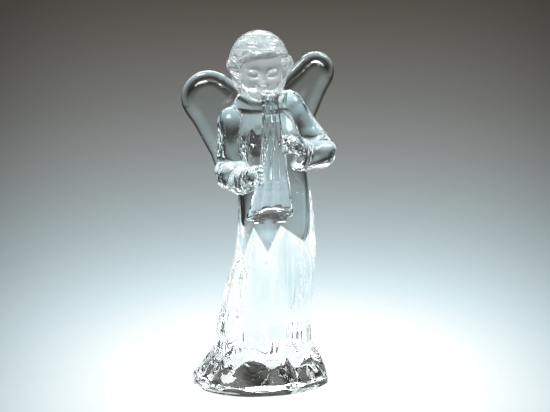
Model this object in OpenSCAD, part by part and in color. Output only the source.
// Crystal angel with a long horn, solid glass. Millimetres, +Z up, the figure faces -Y.
// The origin is on the table, under the middle of the whole figure.

/* [Foot] */
// Width of the foot, from the tip of the train to the flat right side
foot_w = 84; // [80:1:88]
// Depth of the foot, front to back
foot_d = 62; // [60:1:64]
// Height of the foot's clear slab
foot_h = 5; // [4:0.5:7]

/* [Robe] */
// Height at which the hem ends and the skirt begins
hem_top = 24; // [22:1:28]
// Height of the waist, where the skirt meets the bodice
waist_z = 100; // [96:1:104]
// Height of the shoulders, where the bodice meets the neck
shoulder_z = 180; // [178:1:181]
// How deep the folds of the skirt are, as a share of its width
fold_depth = 0.03; // [0:0.01:0.05]
// Number of folds around the skirt
folds = 12; // [8:1:14]

/* [Head] */
// Middle of the head, left to right
head_x = -3; // [-4:0.5:-2]
// Height of the middle of the head
head_z = 201; // [199:0.5:202]
// Width of the face
face_w = 28; // [26:1:30]
// Overall height of the figure
top_z = 222; // [221:0.5:224]

/* [Wings] */
// Distance from the middle to each wing's outer edge
wing_reach = 47; // [46:0.5:47]
// Thickness of a wing's panel
wing_t = 4; // [3.5:0.25:4]
// Radius of the thick roll along a wing's upper edge
rim_r = 3; // [2.75:0.25:3.5]

/* [Horn] */
// Radius of the horn at the lips
lip_r = 4; // [3.5:0.5:4.5]
// Radius of the horn where the tube widens into the bell
flare_r = 8.5; // [7.5:0.5:9]
// Radius of the bell
bell_r = 12.5; // [11:0.5:13]
// Height of the bell's mouth
bell_z = 112; // [108:1:114]
// Height at which the tube widens into the bell
flare_z = 133; // [130:1:136]
// How far the horn's middle stands in front of the figure's middle
horn_y = 18; // [16.5:0.5:18.5]

/* [Hidden] */
$fn = 24;
ring_n = 48;

// The foot's oval before its right end is cut off: full width, and how far right its middle lies
foot_oval_w = 90;
foot_oval_x = 0;

// The robe's outline by height: middle, half width, front and back, each [height, value]
robe_mid = [[foot_h, -2.5], [10, -1], [hem_top, -1], [34, 0], [53, 2.5], [78, 7], [waist_z, 8], [120, 7],
            [150, 4], [170, 1], [shoulder_z, -2]];
robe_half = [[foot_h, 41], [10, 38.5], [15, 35], [hem_top, 31], [34, 29.5], [53, 28], [78, 25.5],
             [waist_z, 24], [120, 22.5], [150, 21], [170, 17], [shoulder_z, 11]];
robe_front = [[foot_h, -29.5], [10, -27], [15, -25], [hem_top, -23], [53, -20], [78, -18],
              [waist_z, -16.5], [120, -15], [150, -14], [170, -11], [shoulder_z, -9]];
robe_back_y = [[foot_h, 29.5], [10, 27], [15, 25], [hem_top, 22], [53, 18], [78, 15], [waist_z, 13],
               [120, 13], [150, 14], [170, 12], [shoulder_z, 7]];

// Left arm and right arm: shoulder, elbow, cuff and hand, each [x, y, z]
arm_left = [[-19, -2, 167.5], [-19, -4, 138], [-15, -14, 134.5], [-11, -20, 136]];
arm_right = [[15.5, -2, 176.5], [33.5, -4, 147.5], [24, -13, 150.5], [15.5, -19, 154]];
// Radius of the sleeve at the shoulder, elbow and end, then of the cuff at its start and at the hand
arm_r = [9, 10, 8.5, 7.2, 6];

// Middle of the horn, left to right, and the height at which its lip begins
horn_x = 1;
lip_z = 183;

// Wing outlines seen from the front: top lobe, root and lower tip, each [x, z, radius]
wing_left_lobes = [[-wing_reach + 16, 178, 16], [-8, 168.5, 11], [-22, 140, 6]];
wing_right_lobes = [[wing_reach - 11, 192.2, 11.6], [8, 169, 11], [24, 150, 5]];
wing_y = 11;
sweep_back = 10;

// A closed solid through rings of equal count, from the lowest up
module loft(rings) {
    n = len(rings[0]);
    m = len(rings);
    polyhedron(
        points = [for (r = rings) each r],
        faces = concat(
            [[for (i = [0 : n - 1]) i]],
            [for (k = [0 : m - 2], i = [0 : n - 1])
                let (a = k * n + i, b = k * n + (i + 1) % n) [a, a + n, b + n, b]],
            [[for (i = [n - 1 : -1 : 0]) (m - 1) * n + i]]
        )
    );
}

// Signed power, for rounded-square sections
function spow(v, p) = sign(v) * pow(abs(v), p);

// One ring of the robe at height z, with its folds at share k of their depth
function robe_ring(z, k) =
    let (
        a = lookup(z, robe_half),
        f = lookup(z, robe_front),
        b = lookup(z, robe_back_y),
        mid_y = (f + b) / 2
    )
    [for (i = [0 : ring_n - 1])
        let (t = 360 * i / ring_n, s = 1 - fold_depth * k * (1 - cos(folds * t)) / 2)
        [lookup(z, robe_mid) + a * s * spow(cos(t), 0.85), mid_y + (b - f) / 2 * s * spow(sin(t), 0.85), z]];

// The robe between two heights, with rings about step apart
module robe(z0, z1, step, k0, k1) {
    n = ceil((z1 - z0) / step);
    loft([for (i = [0 : n]) let (u = i / n) robe_ring(z0 + (z1 - z0) * u, k0 + (k1 - k0) * u)]);
}

// A region of the skirt between two x at the hem and two x at the waist, cut through from the front back to y
module skirt_zone(hem_x, waist_x, y = 40) {
    low = hem_top - 1;
    high = waist_z + 1;
    translate([0, y, 0]) rotate([90, 0, 0]) linear_extrude(y + 40)
        polygon([[hem_x[0], low], [hem_x[1], low], [waist_x[1], high], [waist_x[0], high]]);
}
module panel_zone() skirt_zone([-18, 23], [1, 9], -9);
module train_zone() skirt_zone([-60, -19], [-60, -9]);
module pleat_zone() skirt_zone([24, 60], [24, 60]);

module skirt_form() robe(hem_top, waist_z, 13, 1, 0.2);
module bodice_form() robe(waist_z, shoulder_z, 10, 0, 0);

module ball(p, r) translate(p) sphere(r);
module egg(p, r) translate(p) scale(r) sphere(1);

// The horn: a cone from the lips down, then the flare of the bell
module horn_turn(z0, z1, r0, r1)
    translate([horn_x, -horn_y, z0]) cylinder(h = z1 - z0, r1 = r0, r2 = r1, $fn = 32);
module tube_form() horn_turn(flare_z, lip_z, flare_r, lip_r + 0.5);
module bell_form() horn_turn(bell_z, flare_z, bell_r, flare_r);
module lip_form() horn_turn(lip_z, lip_z + 5, lip_r + 0.5, lip_r);
module horn_form() {
    tube_form();
    bell_form();
    lip_form();
}

module hand_form(arm) egg(arm[3], [6, 6, 6.5]);
module cuff_form(arm) hull() {
    ball(arm[2], arm_r[3]);
    ball((arm[2] + arm[3]) / 2, arm_r[4]);
}
module sleeve_form(arm) {
    hull() {
        ball(arm[0], arm_r[0]);
        ball(arm[1], arm_r[1]);
    }
    hull() {
        ball(arm[1], arm_r[1]);
        ball(arm[2], arm_r[2]);
    }
}

// The front of the head below the fringe, from y = -30 back by a depth and up from under the chin by a height
module head_front(depth, height) translate([head_x - 20, -30, head_z - 20]) cube([40, depth, height]);

// The face reaches a little way into the crown, which is the rest of the head
module face_form() intersection() {
    egg([head_x, -9, head_z - 2], [face_w / 2, 14, 16.5]);
    head_front(23.5, 30);
}
module crown_form() difference() {
    union() {
        egg([head_x, -1, top_z - 17], [17, 17, 17]);
        egg([head_x, 1, head_z - 3], [14, 12, 14]);
    }
    head_front(23, 29.5);
}
// The fringe: half a ring from ear to ear, high over the forehead and lowest at the left
module roll_form()
    translate([head_x, -5, head_z + 4]) rotate([-28, -7, 0]) rotate([0, 0, 180])
        rotate_extrude(angle = 180, $fn = 32) translate([15, 0]) circle(3.4, $fn = 13);
module curl_form(side) egg([head_x + side * 13.5, -7, head_z - 6], [5, 6.5, 9]);

// A wing's outline, lying in the plane of the wing
module wing_outline(lobes) hull()
    for (l = lobes) translate([l[0], l[1]]) circle(l[2], $fn = 40);
module wing_form(lobes, side)
    translate([0, wing_y, 0]) rotate([0, 0, side * sweep_back]) rotate([90, 0, 0])
        linear_extrude(wing_t, center = true) wing_outline(lobes);

// Direction in which the straight edge between the top lobe and the root faces
function edge_facing(lobes, side) =
    let (x = lobes[1][0] - lobes[0][0], z = lobes[1][1] - lobes[0][1])
    (atan2(z, x) - side * acos((lobes[0][2] - lobes[1][2]) / norm([x, z])) + 360) % 360;

// The roll along the upper edge: round the top lobe from its outer side, then straight to the root
module rim_form(lobes, side) {
    a = edge_facing(lobes, side);
    translate([0, wing_y, 0]) rotate([0, 0, side * sweep_back]) {
        translate([lobes[0][0], 0, lobes[0][1]]) rotate([90, 0, 0])
            rotate([0, 0, side > 0 ? 0 : a]) rotate_extrude(angle = side > 0 ? a : 180 - a, $fn = 40)
                translate([lobes[0][2] - 1.5, 0]) circle(rim_r, $fn = 13);
        hull() for (l = [lobes[0], lobes[1]])
            ball([l[0] + (l[2] - 1.5) * cos(a), 0, l[1] + (l[2] - 1.5) * sin(a)], rim_r);
    }
}

// One piece of glass; free-form faces are worked as a mesh
module glass(tint = "#dbe8ee") color(tint, 0.6) resize([0, 0, 0]) children();

// Outline of the foot: an oval whose right end is cut off flat
function oval(a, b, n) = [for (i = [0 : n - 1]) [a * cos(360 * i / n), b * sin(360 * i / n)]];
module foot_outline() intersection() {
    translate([foot_oval_x, 0]) polygon(oval(foot_oval_w / 2, foot_d / 2, 96));
    translate([foot_oval_x - foot_oval_w / 2 - 1, -foot_d / 2 - 1]) square([foot_w + 1, foot_d + 2]);
}

module foot() color("#cfe0ea", 0.6) linear_extrude(foot_h) foot_outline();

module hem() glass("#b9c4c8") robe(foot_h, hem_top, 5, 0, 1);

module robe_back() glass() difference() {
    skirt_form();
    panel_zone();
    train_zone();
    pleat_zone();
}

module front_panel() glass("#eefaff") difference() {
    intersection() {
        skirt_form();
        panel_zone();
    }
    train_zone();
    pleat_zone();
}

module train() glass() intersection() {
    skirt_form();
    train_zone();
}

module side_pleats() glass() intersection() {
    skirt_form();
    pleat_zone();
}

module bodice() glass() difference() {
    bodice_form();
    horn_form();
    for (arm = [arm_left, arm_right]) {
        sleeve_form(arm);
        cuff_form(arm);
        hand_form(arm);
    }
}

// The neck tapers from the shoulders up into the head
module neck_form() {
    base = robe_ring(shoulder_z, 0);
    loft([base, [for (p = base) [p[0] * 0.7 + head_x * 0.3, p[1] * 0.7 - 0.5, shoulder_z + 9]]]);
}
module neck() glass() difference() {
    neck_form();
    face_form();
    crown_form();
}

module face() glass("#f2f6f8") difference() {
    face_form();
    horn_form();
    crown_form();
    roll_form();
    for (side = [-1, 1]) curl_form(side);
}

module hair_crown() glass("#f2f6f8") difference() {
    crown_form();
    roll_form();
    for (side = [-1, 1]) curl_form(side);
}

module hair_roll() glass("#f2f6f8") difference() {
    roll_form();
    for (side = [-1, 1]) curl_form(side);
}

module hair_curl(side) glass("#f2f6f8") curl_form(side);
module hair_curl_left() hair_curl(-1);
module hair_curl_right() hair_curl(1);

module wing(lobes, side, arm) glass("#c9d2d4") difference() {
    wing_form(lobes, side);
    rim_form(lobes, side);
    bodice_form();
    sleeve_form(arm);
    crown_form();
    neck_form();
    translate([side > 0 ? -60 : 0, -60, 0]) cube([60, 120, 260]);
}
module wing_left() wing(wing_left_lobes, -1, arm_left);
module wing_right() wing(wing_right_lobes, 1, arm_right);

module wing_rim(lobes, side) glass() difference() {
    rim_form(lobes, side);
    bodice_form();
    crown_form();
    neck_form();
    translate([side > 0 ? -60 : 0, -60, 0]) cube([60, 120, 260]);
}
module wing_rim_left() wing_rim(wing_left_lobes, -1);
module wing_rim_right() wing_rim(wing_right_lobes, 1);

module sleeve(arm) glass() difference() {
    sleeve_form(arm);
    cuff_form(arm);
    hand_form(arm);
    horn_form();
}
module sleeve_left() sleeve(arm_left);
module sleeve_right() sleeve(arm_right);

module cuff(arm) glass() difference() {
    cuff_form(arm);
    hand_form(arm);
    horn_form();
}
module cuff_left() cuff(arm_left);
module cuff_right() cuff(arm_right);

module hand(arm) glass("#f2f6f8") difference() {
    hand_form(arm);
    horn_form();
}
module hand_left() hand(arm_left);
module hand_right() hand(arm_right);

module horn_tube() glass("#e6f1f4") tube_form();
// The bell is solid glass with a shallow dish in its mouth
module horn_bell() glass("#e6f1f4") difference() {
    bell_form();
    egg([horn_x, -horn_y, bell_z], [bell_r - 2, bell_r - 2, 3]);
}
module horn_lip() glass("#e6f1f4") lip_form();

foot();
hem();
robe_back();
front_panel();
train();
side_pleats();
bodice();
neck();
face();
hair_crown();
hair_roll();
hair_curl_left();
hair_curl_right();
wing_left();
wing_right();
wing_rim_left();
wing_rim_right();
sleeve_left();
sleeve_right();
cuff_left();
cuff_right();
hand_left();
hand_right();
horn_tube();
horn_bell();
horn_lip();
